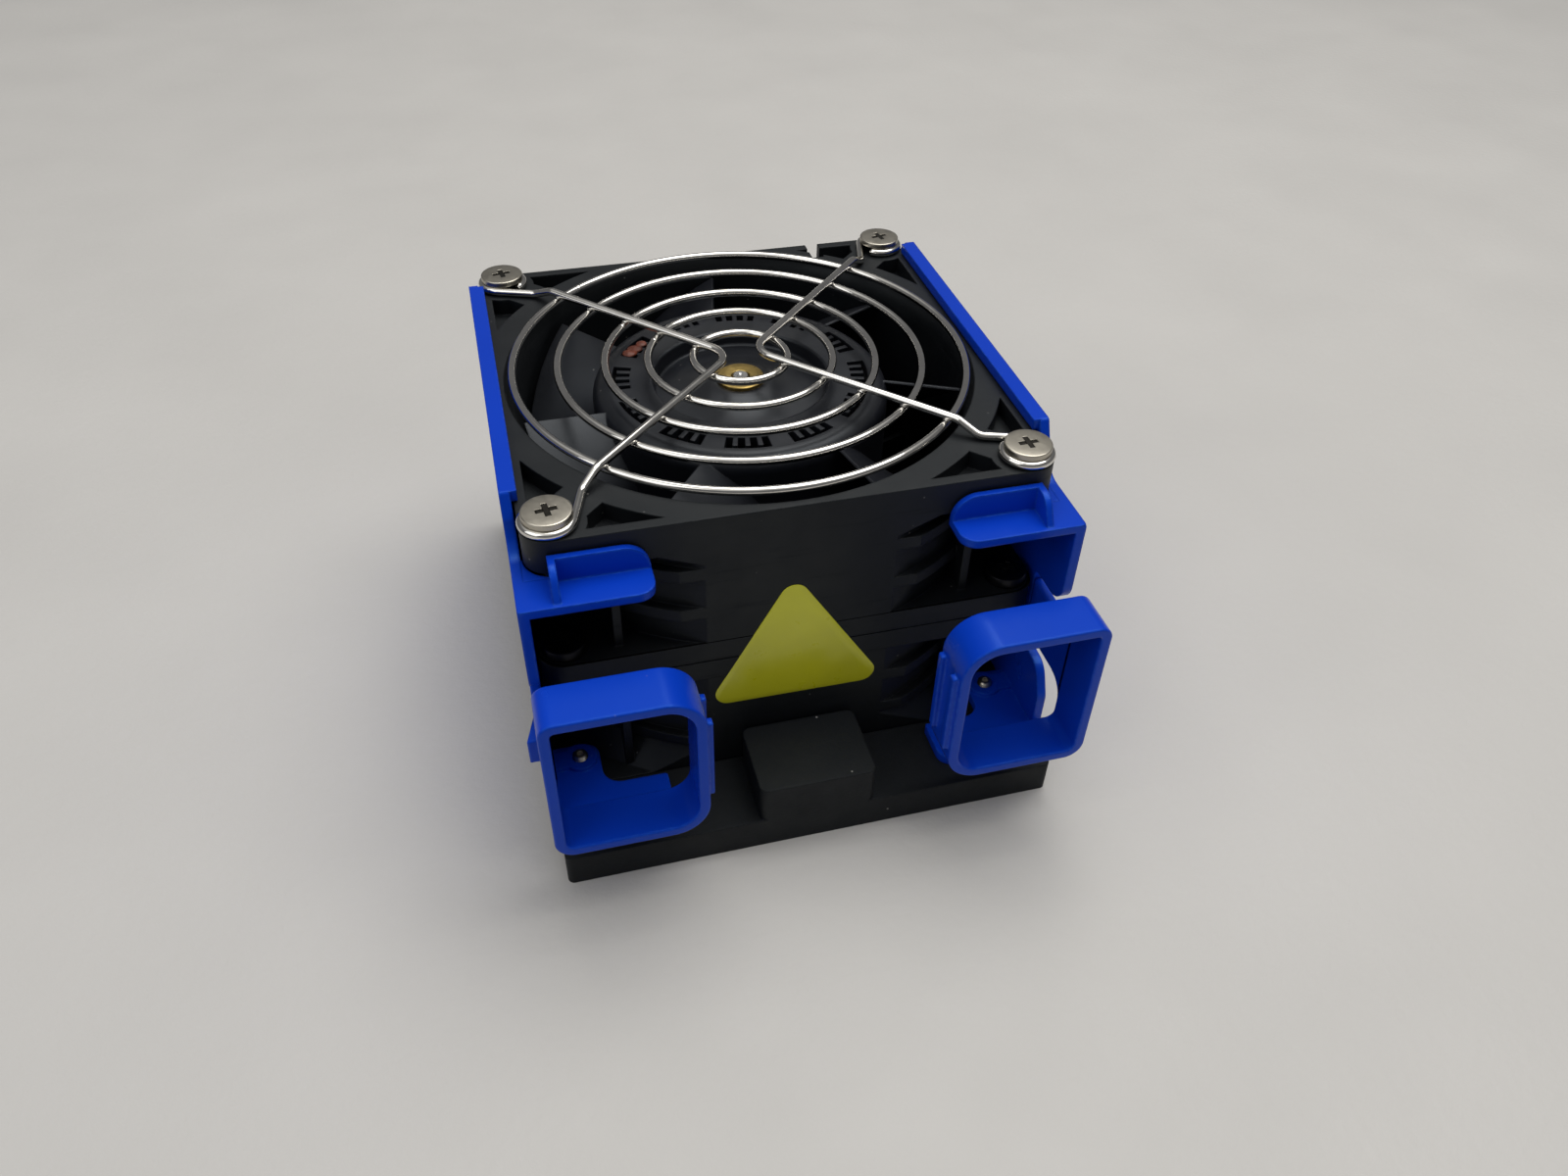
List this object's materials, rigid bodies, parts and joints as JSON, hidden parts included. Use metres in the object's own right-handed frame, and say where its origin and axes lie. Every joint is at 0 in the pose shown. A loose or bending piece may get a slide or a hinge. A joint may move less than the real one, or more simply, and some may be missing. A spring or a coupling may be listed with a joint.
{
  "type": "server fan module",
  "caption": "Hot-swap server fan module with counter-rotating axial fans stacked in a latching plastic carrier, under a wire finger guard and on a rubber outlet gasket.",
  "frame": {"origin": "on the fan axis, in the plane that the rubber gasket stands on", "axes": "+Z along the fan axis from the air outlet to the guarded air inlet, +Y the direction in which the module is pushed into its bay, with the finger loops at -Y and the connector at +Y, +X to the right seen from the finger loops"},
  "size_m": [0.1002, 0.126, 0.0696],
  "materials": {
    "fan_plastic": "fine satin moulding",
    "impeller_plastic": "satin glass-filled moulding",
    "steel": "plain turned or drawn",
    "magnet": "rubber-bonded ferrite",
    "brass": "turned, slightly tarnished",
    "core_steel": "stacked laminations",
    "copper": "enamelled winding wire",
    "circuit_board": "solder mask",
    "bearing_steel": "ground",
    "lead_sleeve": "heat-shrink sleeve",
    "guard_plating": "bright nickel plate on steel wire",
    "screw_plating": "nickel plate on steel",
    "dark_plating": "black zinc plate on steel",
    "blue_plastic": "semi-gloss moulding",
    "gasket_rubber": "matt moulded rubber",
    "connector_plastic": "satin moulding",
    "contact_plating": "gold flash"
  },
  "bodies": {
    "housing": {"upper_fan_frame": "fan_plastic", "upper_stator_core": "core_steel", "upper_coils": "copper", "upper_circuit_board": "circuit_board", "upper_bearings": "bearing_steel", "upper_leads": "lead_sleeve", "lower_fan_frame": "fan_plastic", "lower_stator_core": "core_steel", "lower_coils": "copper", "lower_circuit_board": "circuit_board", "lower_bearings": "bearing_steel", "lower_leads": "lead_sleeve", "guard_rings": "guard_plating", "guard_wire_left": "guard_plating", "guard_wire_right": "guard_plating", "guard_screws": "screw_plating", "joining_screws": "dark_plating", "carrier_screws": "screw_plating", "carrier": "blue_plastic", "gasket": "gasket_rubber", "connector_housing": "connector_plastic", "connector_contacts": "contact_plating"},
    "upper_rotor": {"upper_impeller": "impeller_plastic", "upper_rotor_yoke": "steel", "upper_rotor_magnet": "magnet", "upper_hub_bushing": "brass", "upper_shaft": "steel", "upper_shaft_clip": "steel"},
    "lower_rotor": {"lower_impeller": "impeller_plastic", "lower_rotor_yoke": "steel", "lower_rotor_magnet": "magnet", "lower_hub_bushing": "brass", "lower_shaft": "steel", "lower_shaft_clip": "steel"},
    "left_handle": {"left_latch": "blue_plastic"},
    "right_handle": {"right_latch": "blue_plastic"}
  },
  "joints": [
    {"name": "upper_rotor_spin", "type": "hinge", "parent": "housing", "child": "upper_rotor", "pos_m": [0, 0, 0.05], "axis": [0, 0, -1], "continuous": true},
    {"name": "lower_rotor_spin", "type": "hinge", "parent": "housing", "child": "lower_rotor", "pos_m": [0, 0, 0.018], "axis": [0, 0, 1], "continuous": true},
    {"name": "left_latch_flex", "type": "hinge", "parent": "housing", "child": "left_handle", "pos_m": [-0.0473, -0.044, 0.0326], "axis": [0, 0, 1], "range_deg": [0, 8], "stiffness_Nm_per_rad": 1.4},
    {"name": "right_latch_flex", "type": "hinge", "parent": "housing", "child": "right_handle", "pos_m": [0.0473, -0.044, 0.0326], "axis": [0, 0, -1], "range_deg": [0, 8], "stiffness_Nm_per_rad": 1.4}
  ]
}
